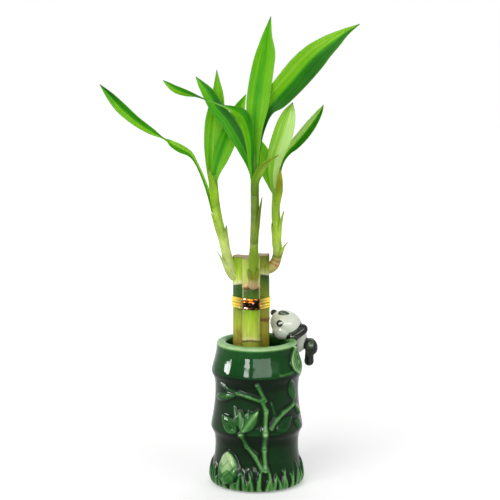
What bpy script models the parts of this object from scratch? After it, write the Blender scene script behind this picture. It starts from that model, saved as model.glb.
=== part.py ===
"""Lucky bamboo in its vase: three stalks tied with gold wire, each with one leafy shoot, standing in
a glazed ceramic vase shaped like a bamboo trunk, with a small panda climbing over its rim.

Units are metres and +Z is up. The vase's axis is the Z axis, its flat foot stands on z = 0 and its
front, with the stem and leaf relief, faces -Y. Rows of shape data are in millimetres.
"""

import math

import bmesh
import bpy
import numpy as np
from mathutils import Matrix, Vector

MM = 0.001
GAP = 0.3  # mm between pieces that touch

# ---------------------------------------------------------------- driving dimensions, in millimetres
VASE_HEIGHT = 102.3
VASE_FOOT_RADIUS = 28.5
VASE_FLOOR = 6.0
MOUTH_RADIUS = 21.4
CAVITY_RADIUS = 24.0
STALK_RADIUS = 6.2
NODE_RING = 0.3  # how far a node ring stands out of its stalk
STALK_SPACING = 13.3
BUNDLE_CENTRE = (-3.95, -0.9)
WIRE_RADIUS = 0.6
WIRE_TURNS = 4
WIRE_PITCH = 2.0
WIRE_LOWEST = 127.3
LEAF_THICKNESS = 0.8
SHEATH_THICKNESS = 0.7

# Outer wall of the vase, as height and radius: a swollen foot, two ridges and a slightly waisted neck.
TRUNK = [
    (0.0, 28.6), (1.2, 31.0), (5.0, 32.5), (12.0, 31.7), (20.0, 29.5), (26.0, 28.8), (32.0, 29.5),
    (36.5, 31.5), (40.5, 31.8), (48.0, 30.6), (58.0, 29.1), (67.0, 28.6), (73.0, 29.3),
    (77.0, 31.0), (81.0, 31.1), (88.0, 29.4), (95.0, 28.3), (99.5, 28.4),
]

# Stalks: foot-to-cut height, and the heights of their node rings.
STALKS = {
    "left": (161.8, (24.0, 60.0, 97.0, 143.0)),
    "front": (162.6, (30.0, 68.0, 105.0, 142.0)),
    "right": (162.8, (46.0, 82.0, 117.0, 149.7)),
}

# Shoot stems: x, y, z and radius along each, from the node it sprouts from.
SHOOTS = {
    "left": [
        (-14.5, 2.6, 146.5, 4.2), (-17.6, 2.0, 151.5, 4.4), (-20.6, 1.4, 161.0, 3.5),
        (-23.5, 1.0, 173.0, 3.3), (-26.6, 1.0, 185.5, 3.2), (-28.8, 1.0, 197.5, 3.2),
        (-29.8, 1.0, 208.0, 3.1),
    ],
    "front": [
        (-2.9, -14.0, 143.6, 3.6), (-2.6, -18.0, 147.0, 3.6), (-2.4, -19.0, 160.0, 3.2),
        (-1.9, -18.8, 176.0, 2.95), (-1.5, -18.4, 190.0, 2.9), (-1.5, -18.0, 204.0, 2.9),
        (-1.6, -18.0, 218.0, 2.8),
    ],
    "right": [
        (7.0, 4.0, 151.5, 3.6), (11.6, 4.0, 154.5, 3.8), (14.3, 3.6, 162.0, 3.3), (14.1, 3.2, 172.5, 3.1),
        (13.5, 3.0, 183.5, 3.1), (13.1, 3.0, 194.5, 3.0), (13.4, 3.0, 204.0, 2.8),
    ],
}

# Sheaths wrapped round the shoots: shoot, lowest and highest z, the way the tip faces (degrees from the
# front, right positive), half the wrap at the foot (degrees) and how far the tip stands off.
SHEATHS = {
    "sheath_left_foot": ("left", 151.0, 166.7, -92.0, 80.0, 2.6),
    "sheath_left_middle": ("left", 167.5, 182.7, 88.0, 85.0, 1.8),
    "sheath_left_upper": ("left", 176.0, 193.0, -100.0, 80.0, 0.5),
    "sheath_front_foot_left": ("front", 149.5, 156.5, -65.0, 42.0, 0.9),
    "sheath_front_foot_right": ("front", 149.5, 157.5, 65.0, 42.0, 0.9),
    "sheath_front_lower": ("front", 158.5, 175.0, 0.0, 105.0, 0.2),
    "sheath_front_upper": ("front", 176.5, 206.0, 90.0, 60.0, 2.3),
    "sheath_right_foot": ("right", 160.0, 171.5, 90.0, 60.0, 4.6),
    "sheath_right_middle": ("right", 163.0, 185.0, -80.0, 95.0, 0.3),
    "sheath_right_upper": ("right", 172.5, 193.6, 92.0, 60.0, 2.9),
}

# Leaf blades: x, y, z of the midrib, half width and roll (degrees; 0 faces the front), base to tip.
# The number that ends each entry is the fold of its two halves, in degrees.
LEAVES = {
    "leaf_left_long": ([
        (-33.3, -0.8, 198.0, 1.1, 40), (-34.2, -2.0, 206.0, 1.4, 40), (-37.6, -4.0, 217.5, 1.5, 50),
        (-42.0, -7.0, 227.8, 1.5, 50), (-46.0, -9.0, 234.0, 2.2, 35), (-52.7, -12.0, 238.2, 3.0, 20),
        (-58.6, -14.5, 241.8, 2.4, 30), (-63.4, -16.5, 245.0, 1.6, 80), (-72.6, -19.5, 251.0, 2.6, 25),
        (-82.4, -22.5, 258.3, 3.4, 5), (-91.5, -24.5, 266.8, 3.9, 0), (-99.0, -25.5, 275.2, 2.6, 0),
        (-105.3, -26.0, 282.5, 0.3, 0),
    ], 18),
    "leaf_left_tall": ([
        (-30.8, 2.6, 208.6, 1.8, 0), (-31.0, 4.2, 217.0, 3.2, 0), (-31.2, 7.0, 227.0, 4.6, 0),
        (-30.9, 10.0, 239.0, 6.0, 0), (-29.6, 13.0, 252.5, 6.8, 0), (-28.2, 16.0, 264.0, 5.8, 0),
        (-27.4, 18.0, 274.0, 4.0, 0), (-27.7, 20.0, 282.5, 1.9, 0), (-28.0, 21.0, 290.2, 0.3, 0),
    ], 10),
    "leaf_left_leaning": ([
        (-29.8, 0.6, 208.6, 1.6, 0), (-28.6, 0.6, 219.0, 2.8, 0), (-24.5, 2.5, 232.0, 6.2, -12),
        (-20.2, 6.5, 243.5, 6.9, -12), (-16.0, 11.5, 254.5, 5.8, -8), (-11.8, 16.0, 264.5, 3.6, 0),
        (-7.6, 19.0, 273.2, 0.3, 0),
    ], 14),
    "leaf_front_upright": ([
        (-1.7, -18.9, 218.6, 2.0, 0), (-1.4, -19.0, 235.5, 3.2, 0), (-1.1, -19.2, 251.5, 4.8, 0),
        (0.1, -19.2, 267.0, 7.6, 0), (1.9, -18.2, 281.2, 7.9, 0), (4.0, -15.5, 293.8, 7.5, 0),
        (5.9, -12.0, 303.6, 6.5, 0), (6.9, -8.0, 314.5, 3.4, 0), (9.4, -3.0, 327.4, 0.3, 0),
    ], 10),
    "leaf_front_right": ([
        (-0.9, -17.2, 218.6, 1.6, 0), (0.5, -16.2, 238.0, 2.0, 0), (2.6, -15.2, 252.0, 3.0, 0),
        (6.6, -14.6, 264.0, 5.0, 0), (12.8, -15.0, 272.4, 7.6, 0), (22.3, -19.0, 283.4, 9.3, 0),
        (30.6, -22.5, 293.2, 9.9, 0), (38.6, -25.5, 301.6, 9.0, 0), (44.9, -27.5, 307.2, 7.2, 0),
        (51.3, -29.0, 312.1, 5.4, 0), (59.2, -30.5, 317.8, 2.5, 0), (68.0, -31.5, 322.7, 0.3, 0),
    ], 12),
    "leaf_front_left": ([
        (-2.8, -15.9, 218.6, 1.4, 0), (-5.2, -14.2, 227.2, 2.2, 0), (-9.4, -11.0, 238.0, 4.0, -8),
        (-14.4, -7.0, 247.4, 5.0, -8), (-20.6, -3.0, 257.0, 5.2, -8), (-27.5, 0.0, 265.0, 5.0, -5),
        (-33.2, 3.0, 274.4, 4.4, 0), (-38.2, 5.0, 280.8, 2.5, 0), (-42.2, 6.0, 286.2, 0.3, 0),
    ], 12),
    "leaf_front_twisted": ([
        (-3.2, -20.4, 218.6, 1.4, 0), (-4.2, -21.9, 229.5, 1.9, 0), (-4.6, -24.0, 242.0, 3.1, 0),
        (-6.8, -27.0, 253.6, 4.2, 5), (-10.2, -30.0, 261.6, 4.9, 20), (-16.4, -33.0, 265.8, 3.6, 55),
        (-23.6, -36.0, 268.8, 2.4, 82), (-31.9, -39.0, 272.2, 2.0, 96), (-39.8, -41.5, 275.3, 2.2, 112),
        (-47.0, -43.5, 277.7, 2.6, 150), (-53.8, -45.0, 280.4, 2.5, 170), (-58.6, -46.0, 283.7, 1.5, 180),
        (-61.9, -46.5, 286.4, 0.3, 180),
    ], 8),
    "bract_front": ([
        (-1.6, -21.9, 207.0, 2.3, 0), (-1.2, -22.0, 216.0, 3.1, 0), (0.6, -22.4, 221.6, 3.4, 10),
        (3.4, -23.2, 226.6, 3.0, 20), (6.9, -24.4, 230.6, 2.0, 30), (10.4, -25.6, 233.0, 1.0, 40),
        (14.4, -27.0, 235.0, 0.3, 40),
    ], 30),
    "leaf_right_pale": ([
        (12.4, 1.6, 204.6, 1.5, 0), (11.2, 0.4, 215.4, 2.6, 0), (11.9, -2.5, 226.0, 4.6, 0),
        (13.5, -6.0, 235.3, 6.1, 0), (17.0, -9.0, 245.6, 7.1, 0), (19.8, -11.0, 255.5, 6.3, 0),
        (22.2, -12.0, 263.2, 4.2, 0), (24.2, -12.0, 269.6, 0.3, 0),
    ], 16),
    "leaf_right_folded": ([
        (13.6, 4.0, 204.6, 1.4, 0), (15.0, 6.0, 216.5, 1.8, 0), (17.2, 8.0, 226.5, 2.4, 0),
        (21.2, 10.0, 233.5, 3.8, 0), (26.0, 12.0, 238.6, 5.4, 0), (32.2, 15.0, 245.2, 5.8, 0),
        (38.2, 18.0, 252.6, 5.0, 0), (43.6, 20.0, 260.2, 2.9, 0), (46.7, 21.0, 265.6, 0.3, 0),
    ], 35),
    "leaf_right_back": ([
        (12.6, 5.3, 204.6, 1.6, 0), (10.2, 7.8, 211.5, 3.0, 0), (7.9, 10.5, 218.5, 4.4, 0),
        (5.6, 14.0, 227.0, 5.4, 0), (3.1, 18.0, 235.5, 4.0, 0), (-0.6, 21.0, 244.0, 0.3, 0),
    ], 12),
    "bract_right": ([
        (14.6, -0.7, 197.0, 2.4, 20), (14.8, -1.2, 204.5, 3.0, 20), (15.2, -2.0, 211.0, 2.9, 20),
        (15.6, -3.5, 217.5, 2.0, 20), (16.0, -5.2, 224.4, 0.3, 20),
    ], 30),
    "bract_left": ([
        (-29.4, -2.9, 196.0, 2.4, 0), (-29.7, -2.9, 203.5, 3.2, 0), (-30.4, -2.9, 210.5, 3.0, 0),
        (-32.0, -2.9, 218.0, 1.8, 0), (-33.7, -2.9, 224.2, 0.3, 0),
    ], 30),
}

# Relief on the vase: angle round the wall from the front (degrees, right positive), height, thickness.
RELIEF_STEMS = [
    ([(1.5, 75.5), (10.0, 67.0)], 2.0),
    ([
        (7.5, 65.2), (10.5, 60.0), (11.0, 53.5), (10.5, 47.0),
        (11.5, 40.0), (11.0, 33.0), (9.5, 27.0), (11.0, 18.5),
    ], 2.0),
    ([(8.0, 65.0), (-2.5, 67.0), (-14.5, 69.0), (-24.0, 70.4), (-33.0, 72.4), (-56.0, 75.0)], 1.4),
    ([(-24.0, 70.0), (-34.0, 68.5), (-46.0, 66.5)], 1.3),
    ([(18.5, 46.5), (31.5, 52.5), (41.5, 56.6), (53.0, 60.5)], 1.7),
    ([(-22.5, 40.0), (-11.5, 32.8), (-2.5, 26.0), (8.0, 17.2)], 1.9),
]
# Angle, height, half length, half width, lean (degrees, to the right) and how far it stands out.
RELIEF_LEAVES = [
    (-56.0, 65.0, 5.5, 2.6, 80, 1.6),
    (-10.0, 50.5, 10.0, 6.0, 30, 2.6),
    (-27.0, 55.5, 7.0, 2.2, -28, 1.5),
    (-40.0, 46.0, 6.6, 4.4, -60, 1.8),
    (53.0, 70.0, 8.0, 3.6, -25, 2.0),
    (66.0, 55.5, 5.0, 3.2, 50, 2.0),
    (70.0, 91.0, 8.2, 6.0, 0, 2.0),
    (72.0, 45.5, 5.5, 3.4, 20, 1.6),
    (-41.0, 16.5, 11.0, 8.0, -8, 4.2),
]
GRASS_BLADES = 20
GRASS_HEIGHT = 8.5

# The panda: centre, half lengths and turn about Y (degrees) of each rounded mass.
PANDA_MASSES = [
    ((21.6, 12.8, 112.2), (12.0, 9.0, 9.4), 16.0),
    ((14.0, 10.6, 107.4), (5.6, 5.6, 4.9), 0.0),
    ((18.8, 12.8, 120.4), (2.9, 1.9, 2.9), 0.0),
    ((10.8, 17.0, 118.6), (2.9, 2.4, 2.9), 0.0),
    ((28.6, 18.0, 98.0), (7.0, 7.4, 11.5), 0.0),
    ((37.8, 15.0, 92.5), (4.6, 4.8, 6.4), 10.0),
    ((28.0, 27.5, 92.5), (5.0, 4.8, 6.4), 0.0),
]
# Limbs: their ends and radius.
PANDA_LIMBS = [
    ((30.5, 14.0, 107.0), (24.3, 8.6, 105.4), 3.2),
    ((26.0, 20.0, 107.0), (14.6, 20.2, 105.4), 3.2),
    ((37.8, 15.5, 90.0), (37.4, 16.5, 82.0), 3.1),
    ((28.0, 27.5, 90.0), (28.0, 29.0, 82.0), 3.1),
]


# ---------------------------------------------------------------------------------- small helpers
def clear_scene():
    for obj in list(bpy.data.objects):
        bpy.data.objects.remove(obj)


def collection(name, hidden=False):
    made = bpy.data.collections.new(name)
    made.hide_render = hidden
    bpy.context.scene.collection.children.link(made)
    return made


def material(name, colour, roughness, metallic=0.0):
    made = bpy.data.materials.new(name)
    made.use_nodes = True
    shader = made.node_tree.nodes["Principled BSDF"]
    shader.inputs["Base Color"].default_value = (*colour, 1.0)
    shader.inputs["Roughness"].default_value = roughness
    shader.inputs["Metallic"].default_value = metallic
    made.diffuse_color = (*colour, 1.0)
    return made


def smooth(rows, samples):
    """Catmull-Rom curve through rows of numbers, with this many points between each two rows."""
    rows = np.array(rows, float)
    ends = np.vstack([2 * rows[0] - rows[1], rows, 2 * rows[-1] - rows[-2]])
    made = []
    for a, b, c, d in zip(ends, ends[1:], ends[2:], ends[3:]):
        bend, twist = 2 * a - 5 * b + 4 * c - d, 3 * b - a - 3 * c + d
        for t in np.arange(samples) / samples:
            made.append(0.5 * (2 * b + (c - a) * t + bend * t**2 + twist * t**3))
    return np.array(made + [rows[-1]])


def add_object(name, data, group, look=None):
    obj = bpy.data.objects.new(name, data)
    group.objects.link(obj)
    if look:
        data.materials.append(look)
    return obj


def mesh_object(name, bm, group, look=None):
    mesh = bpy.data.meshes.new(name)
    bm.to_mesh(mesh)
    bm.free()
    mesh.shade_smooth()
    return add_object(name, mesh, group, look)


def turned(name, profile, steps, group, look=None):
    """A turned solid: (radius, z) rows in mm, from the axis over the top and down the outside."""
    bm = bmesh.new()
    points = [bm.verts.new((r * MM, 0, z * MM)) for r, z in profile]
    for a, b in zip(points, points[1:]):
        bm.edges.new((a, b))
    obj = mesh_object(name, bm, group, look)
    screw = obj.modifiers.new("Turn", "SCREW")
    screw.steps = screw.render_steps = steps
    screw.use_merge_vertices = True
    screw.merge_threshold = 0.00001
    screw.use_smooth_shade = True
    return obj


def tube(name, points, radii, group, look=None, roundness=2):
    """A round bar through points (mm) with a radius (mm) at each, as a closed mesh."""
    curve = bpy.data.curves.new(name, "CURVE")
    curve.dimensions = "3D"
    curve.bevel_depth = MM
    curve.bevel_resolution = roundness
    curve.use_fill_caps = True
    spline = curve.splines.new("POLY")
    spline.points.add(len(points) - 1)
    for point, place, radius in zip(spline.points, points, radii):
        point.co = (*(Vector(place) * MM), 1.0)
        point.radius = radius
    guide = add_object(name + "_guide", curve, group)
    graph = bpy.context.evaluated_depsgraph_get()
    mesh = bpy.data.meshes.new_from_object(guide.evaluated_get(graph))
    bpy.data.objects.remove(guide)
    bm = bmesh.new()
    bm.from_mesh(mesh)
    bpy.data.meshes.remove(mesh)
    bmesh.ops.remove_doubles(bm, verts=bm.verts, dist=0.000001)
    bmesh.ops.recalc_face_normals(bm, faces=bm.faces)
    return mesh_object(name, bm, group, look)


def ball(name, centre, half, group, turn=None, segments=16, rings=10):
    """An ellipsoid: centre and half lengths in mm, turned by a rotation matrix."""
    bm = bmesh.new()
    bmesh.ops.create_uvsphere(bm, u_segments=segments, v_segments=rings, radius=1.0)
    place = Matrix.Translation(Vector(centre) * MM) @ (turn or Matrix.Identity(4))
    bm.transform(place @ Matrix.Diagonal((*(Vector(half) * MM), 1.0)))
    return mesh_object(name, bm, group)


def combine(obj, operation, others):
    """A Boolean of obj with every object of a hidden collection."""
    modifier = obj.modifiers.new(operation.title(), "BOOLEAN")
    modifier.operation = operation
    modifier.operand_type = "COLLECTION"
    modifier.collection = others
    modifier.solver = "EXACT"


def hide_all(group):
    for obj in group.objects:
        obj.hide_render = True
        obj.display_type = "WIRE"


# ------------------------------------------------------------------------------------------ vase
def trunk_radius(z):
    wall = smooth(TRUNK, 6)
    return float(np.interp(z, wall[:, 0], wall[:, 1]))


def vase_profile(grow=0.0):
    """The wall's section, grown all round by a clearance."""
    outer = TRUNK[::-1]
    lip = VASE_HEIGHT - outer[0][0]
    lip_middle = (outer[0][1] + MOUTH_RADIUS) / 2
    lip_half = (outer[0][1] - MOUTH_RADIUS) / 2 + grow
    section = [(0.0, VASE_FLOOR + grow), (18.0, VASE_FLOOR + grow)]
    section += [(CAVITY_RADIUS - 1.5 - grow, VASE_FLOOR + 3.0), (CAVITY_RADIUS - grow, 16.0)]
    section += [(CAVITY_RADIUS - 0.6 - grow, 60.0), (MOUTH_RADIUS + 0.6 - grow, 88.0)]
    for step in range(7):
        angle = math.pi * (1 - step / 6)
        rise = (lip + grow) * math.sin(angle) ** 0.7
        section.append((lip_middle + lip_half * math.cos(angle), outer[0][0] + rise))
    section += [(r + grow, z) for z, r in outer[1:-1]]
    return section + [(VASE_FOOT_RADIUS + grow, -grow), (0.0, -grow)]


def on_wall(angle, z, out=0.0):
    """A point on the vase's wall, and the direction straight out of the wall there."""
    facing = Vector((math.sin(math.radians(angle)), -math.cos(math.radians(angle)), 0.0))
    return facing * (trunk_radius(z) + out) + Vector((0, 0, z)), facing


def relief_leaf(name, angle, z, length, width, lean, out, group):
    centre, facing = on_wall(angle, z, out * 0.25)
    across = Vector((-facing.y, facing.x, 0.0))
    turn = Matrix((across, -facing, Vector((0, 0, 1)))).transposed().to_4x4()
    ball(
        name, centre, (width, out, length), group, turn @ Matrix.Rotation(math.radians(lean), 4, "Y"),
        segments=8, rings=6,
    )


def vase(parts):
    relief = collection("vase_relief", hidden=True)
    for i, (route, radius) in enumerate(RELIEF_STEMS):
        bend = smooth(route, 2)
        points = [on_wall(angle, z, 0.3)[0] for angle, z in bend]
        tube(f"relief_stem_{i}", points, [radius] * len(points), relief, roundness=1)
    for i, row in enumerate(RELIEF_LEAVES):
        relief_leaf(f"relief_leaf_{i}", *row, relief)
    for i in range(GRASS_BLADES):
        angle = 360.0 * i / GRASS_BLADES + 6.0 * math.sin(2.3 * i)
        tall = GRASS_HEIGHT * (0.78 + 0.22 * math.sin(1.7 * i))
        relief_leaf(f"relief_grass_{i}", angle, tall + 1.0, tall, 1.7, 9.0 * math.sin(3.1 * i), 0.9, relief)
    hide_all(relief)
    glaze = material("green_glaze", (0.02, 0.16, 0.05), 0.12)
    body = turned("vase", vase_profile(), 40, parts, glaze)
    combine(body, "UNION", relief)


# ----------------------------------------------------------------------------------------- panda
def panda(parts):
    body = collection("panda_masses", hidden=True)
    for i, (centre, half, turn) in enumerate(PANDA_MASSES[1:]):
        ball(f"panda_mass_{i}", centre, half, body, Matrix.Rotation(math.radians(turn), 4, "Y"), 12, 8)
    for i, (start, end, radius) in enumerate(PANDA_LIMBS):
        ends = [Vector(start), Vector(end)]
        tube(f"panda_limb_{i}", ends, [radius, radius], body)
        ball(f"panda_paw_{i}", end, (radius * 1.12,) * 3, body, segments=10, rings=7)
    hide_all(body)
    clearance = collection("panda_clearance", hidden=True)
    turned("vase_clearance", vase_profile(GAP), 48, clearance)
    hide_all(clearance)
    centre, half, turn = PANDA_MASSES[0]
    figure = ball("panda", centre, half, parts, Matrix.Rotation(math.radians(turn), 4, "Y"), 18, 11)
    figure.data.materials.append(material("panda_white", (0.82, 0.84, 0.78), 0.15))
    combine(figure, "UNION", body)
    combine(figure, "DIFFERENCE", clearance)


# ---------------------------------------------------------------------------------- stalks and tie
def stalk_axes():
    """The three stalks' axes: two side by side at the back and one in front of them."""
    x, y = BUNDLE_CENTRE
    half = STALK_SPACING / 2
    third = STALK_SPACING * math.sqrt(3) / 6  # of the triangle's depth
    return {"left": (x - half, y + third), "front": (x, y - 2 * third), "right": (x + half, y + third)}


def stalk_profile(height, nodes, grow=0.0):
    foot = VASE_FLOOR + GAP
    radius = STALK_RADIUS + grow
    section = [(0.0, height + grow), (radius - 0.6, height + grow), (radius, height - 0.6)]
    for z in sorted(nodes, reverse=True):
        section += [(radius, z + 1.6), (radius + NODE_RING, z + 0.5)]
        section += [(radius + NODE_RING, z - 0.5), (radius, z - 1.6)]
    return section + [(radius, foot + 0.6), (radius - 0.6, foot - grow), (0.0, foot - grow)]


def stalks(parts, clearance):
    look = material("stalk_skin", (0.42, 0.52, 0.06), 0.35)
    for side, (x, y) in stalk_axes().items():
        height, nodes = STALKS[side]
        for name, grow, group in ((f"stalk_{side}", 0.0, parts), (f"clear_{side}", GAP, clearance)):
            obj = turned(name, stalk_profile(height, nodes, grow), 18, group, look)
            obj.location = (x * MM, y * MM, 0)


def tie(parts):
    """Gold wire wound round the bundle as a rounded triangle, its ends tucked in between the back stalks."""
    axes = stalk_axes()
    reach = STALK_RADIUS + GAP + WIRE_RADIUS
    corners = [("right", 90.0), ("front", -30.0), ("left", -150.0)]
    loop = []
    for side, start in corners:
        x, y = axes[side]
        for step in range(5):
            angle = math.radians(start - 30.0 * step)
            loop.append((x + reach * math.cos(angle), y + reach * math.sin(angle)))
    x, y = axes["left"][0] + STALK_SPACING / 2, axes["left"][1]
    tucked = [(x, y + reach - 3.4), (x, y + reach - 0.8)]
    route = tucked + loop * WIRE_TURNS + tucked[::-1]
    rise = np.linspace(0.0, WIRE_TURNS * WIRE_PITCH, len(route))
    points = [(a, b, WIRE_LOWEST + z) for (a, b), z in zip(route, rise)]
    look = material("gold_wire", (0.85, 0.6, 0.08), 0.2, 1.0)
    tube("tie_wire", points, [WIRE_RADIUS] * len(points), parts, look)


# ------------------------------------------------------------------------- shoots, sheaths, leaves
def shoots(parts, clearance):
    look = material("shoot_green", (0.35, 0.5, 0.08), 0.4)
    for side, rows in SHOOTS.items():
        route = smooth(rows, 3)
        stem = tube(f"shoot_{side}", route[:, :3], route[:, 3], parts, look)
        combine(stem, "DIFFERENCE", clearance)


def strip(name, place, along, across, thickness, parts, look):
    """A thin closed strip: place(s, u) gives its middle surface in mm, s from 0 to 1, u from -1 to 1."""
    bm = bmesh.new()
    bmesh.ops.create_grid(bm, x_segments=across, y_segments=along, size=1.0)
    for vert in bm.verts:
        vert.co = Vector(place((vert.co.y + 1) / 2, vert.co.x)) * MM
    obj = mesh_object(name, bm, parts, look)
    solid = obj.modifiers.new("Thickness", "SOLIDIFY")
    solid.thickness = thickness * MM
    solid.offset = 0.0
    return obj


def sheath(name, side, low, high, facing, wrap, flare, parts, look):
    """A pointed sheath round a shoot: wide at its foot, narrowing to a tip that stands off the stem."""
    route = smooth(SHOOTS[side], 12)

    def place(s, u):
        z = low + (high - low) * s
        x, y, radius = (np.interp(z, route[:, 2], route[:, i]) for i in (0, 1, 3))
        x_up, y_up = (np.interp(z + 2.0, route[:, 2], route[:, i]) for i in (0, 1))
        up = Vector((x_up - x, y_up - y, 2.0)).normalized()
        front = (Vector((0, -1, 0)) - up * up.dot(Vector((0, -1, 0)))).normalized()
        right = up.cross(front)
        half = wrap * (1.0 - s**1.6) + 4.0
        angle = math.radians(facing + u * half)
        out = radius + GAP + SHEATH_THICKNESS / 2 + 0.1 + flare * s**2.2
        return Vector((x, y, z)) + (front * math.cos(angle) + right * math.sin(angle)) * out

    strip(name, place, 7, 5, SHEATH_THICKNESS, parts, look)


def leaf(name, rows, fold, parts, look):
    """A blade along its midrib, its halves folded up and its foot rolled narrower round the shoot."""
    route = smooth(rows, 6)
    last = len(route) - 1

    def place(s, u):
        at = s * last
        i = min(int(at), last - 1)
        x, y, z, half, roll = route[i] + (route[i + 1] - route[i]) * (at - i)
        tangent = Vector(route[i + 1][:3] - route[i][:3]).normalized()
        side = Vector((0, 1, 0)).cross(tangent).normalized()
        turn = Matrix.Rotation(math.radians(roll), 3, tangent)
        side = turn @ side
        face = side.cross(tangent)
        lift = math.sin(math.radians(fold)) * (math.sqrt(u * u + 0.04) - 0.2)
        return Vector((x, y, z)) + side * (u * half * math.cos(math.radians(fold))) + face * (lift * half)

    strip(name, place, 2 * len(rows), 4, LEAF_THICKNESS, parts, look)


def foliage(parts):
    green = material("leaf_green", (0.12, 0.42, 0.03), 0.4)
    pale = material("sheath_green", (0.35, 0.5, 0.1), 0.45)
    for name, row in SHEATHS.items():
        sheath(name, *row, parts, pale)
    for name, (rows, fold) in LEAVES.items():
        leaf(name, rows, fold, parts, pale if name.startswith("bract") else green)


def main():
    clear_scene()
    parts = collection("lucky_bamboo")
    clearance = collection("stalk_clearance", hidden=True)
    vase(parts)
    panda(parts)
    stalks(parts, clearance)
    hide_all(clearance)
    tie(parts)
    shoots(parts, clearance)
    foliage(parts)


main()
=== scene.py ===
"""Lucky bamboo in its vase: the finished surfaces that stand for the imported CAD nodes.

Metres, in the CAD's frame: the vase's axis is Z, its foot stands on z = 0 and its front faces -Y.
Rows of shape data repeat the CAD's own, in millimetres.
"""

import math

import bmesh
import bpy
import numpy as np
from mathutils import Matrix, Vector

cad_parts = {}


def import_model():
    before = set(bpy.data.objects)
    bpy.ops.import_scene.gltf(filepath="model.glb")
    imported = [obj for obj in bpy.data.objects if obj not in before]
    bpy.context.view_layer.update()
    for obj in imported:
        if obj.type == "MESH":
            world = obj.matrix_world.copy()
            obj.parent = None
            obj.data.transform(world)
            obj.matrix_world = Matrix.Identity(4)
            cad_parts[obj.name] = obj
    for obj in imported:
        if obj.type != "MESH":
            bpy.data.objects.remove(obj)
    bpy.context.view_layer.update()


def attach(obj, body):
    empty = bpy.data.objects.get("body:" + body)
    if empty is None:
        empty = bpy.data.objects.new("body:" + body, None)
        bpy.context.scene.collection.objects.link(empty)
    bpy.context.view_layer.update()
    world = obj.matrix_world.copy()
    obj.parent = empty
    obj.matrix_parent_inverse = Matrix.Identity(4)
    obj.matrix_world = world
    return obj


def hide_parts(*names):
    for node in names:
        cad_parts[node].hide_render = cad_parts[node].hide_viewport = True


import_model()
MM = 0.001


# ---------- shape data
VASE_HEIGHT = 102.3
VASE_FLOOR = 6.0
MOUTH_RADIUS = 21.4
CAVITY_RADIUS = 24.0
STALK_RADIUS = 6.2
STALK_SPACING = 13.3
BUNDLE_CENTRE = (-3.95, -0.9)
WIRE_HALF = (0.5, 1.0)  # half thickness out from the bundle, and half height
WIRE_TURNS = 4
WIRE_PITCH = 2.0
WIRE_LOWEST = 126.4
WIRE_BACK_DROP = 1.2  # how much lower the wire runs behind than in front
WIRE_GAP = 0.3  # from a cane to the middle of the wire

TRUNK = [
    (0.0, 28.6), (1.2, 31.0), (5.0, 32.4), (12.0, 31.8), (20.0, 30.1), (26.0, 29.5), (32.0, 29.6),
    (36.0, 30.3), (38.8, 31.6), (41.0, 32.4), (44.0, 32.1), (50.0, 31.0), (58.0, 29.9), (66.0, 29.4),
    (72.0, 29.5), (76.0, 30.2), (78.8, 31.4), (81.0, 31.9), (84.0, 31.4), (90.0, 29.8), (95.5, 28.6),
    (99.5, 28.4),
]

STALKS = {
    "left": (161.8, (24.0, 60.0, 97.0, 143.0)),
    "front": (162.6, (30.0, 68.0, 105.0, 142.0)),
    "right": (162.8, (46.0, 82.0, 117.0, 149.7)),
}

SHOOTS = {
    "left": [
        (-14.5, 2.6, 146.5, 4.2), (-17.6, 2.0, 151.5, 4.4), (-20.6, 1.4, 161.0, 3.5),
        (-23.5, 1.0, 173.0, 3.3), (-26.6, 1.0, 185.5, 3.2), (-28.8, 1.0, 197.5, 3.2),
        (-29.8, 1.0, 208.0, 3.1), (-29.9, 1.6, 214.0, 2.6), (-29.8, 2.4, 224.0, 0.8),
    ],
    "front": [
        (-2.9, -14.0, 143.6, 3.6), (-2.6, -18.0, 147.0, 3.6), (-2.4, -19.0, 160.0, 3.2),
        (-1.9, -18.8, 176.0, 2.95), (-1.5, -18.4, 190.0, 2.9), (-1.5, -18.0, 204.0, 2.9),
        (-1.6, -18.0, 218.0, 2.8), (-1.8, -18.2, 225.0, 2.3), (-2.0, -18.6, 236.0, 0.8),
    ],
    "right": [
        (7.0, 4.0, 151.5, 3.6), (11.6, 4.0, 154.5, 3.8), (14.3, 3.6, 162.0, 3.3), (14.1, 3.2, 172.5, 3.1),
        (13.5, 3.0, 183.5, 3.1), (13.1, 3.0, 194.5, 3.0), (13.4, 3.0, 204.0, 2.8),
        (13.2, 3.0, 209.0, 2.4), (12.8, 3.2, 218.0, 0.7),
    ],
}

# Sheath: shoot, lowest and highest z, facing and half wrap (degrees), how far the tip stands off.
SHEATHS = {
    "sheath_left_foot": ("left", 149.0, 166.7, -78.0, 80.0, 2.6),
    "sheath_left_middle": ("left", 166.0, 182.7, 65.0, 85.0, 1.8),
    "sheath_left_upper": ("left", 176.0, 193.0, -78.0, 80.0, 0.5),
    "sheath_front_foot_left": ("front", 148.0, 156.5, -50.0, 42.0, 1.3),
    "sheath_front_foot_right": ("front", 148.0, 157.5, 50.0, 42.0, 1.3),
    "sheath_front_lower": ("front", 157.0, 175.0, 0.0, 105.0, 0.2),
    "sheath_front_upper": ("front", 176.5, 206.0, 66.0, 60.0, 2.3),
    "sheath_right_foot": ("right", 160.0, 171.5, 68.0, 60.0, 4.6),
    "sheath_right_middle": ("right", 163.0, 185.0, -58.0, 95.0, 0.3),
    "sheath_right_upper": ("right", 172.5, 193.6, 68.0, 60.0, 2.9),
}

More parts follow.
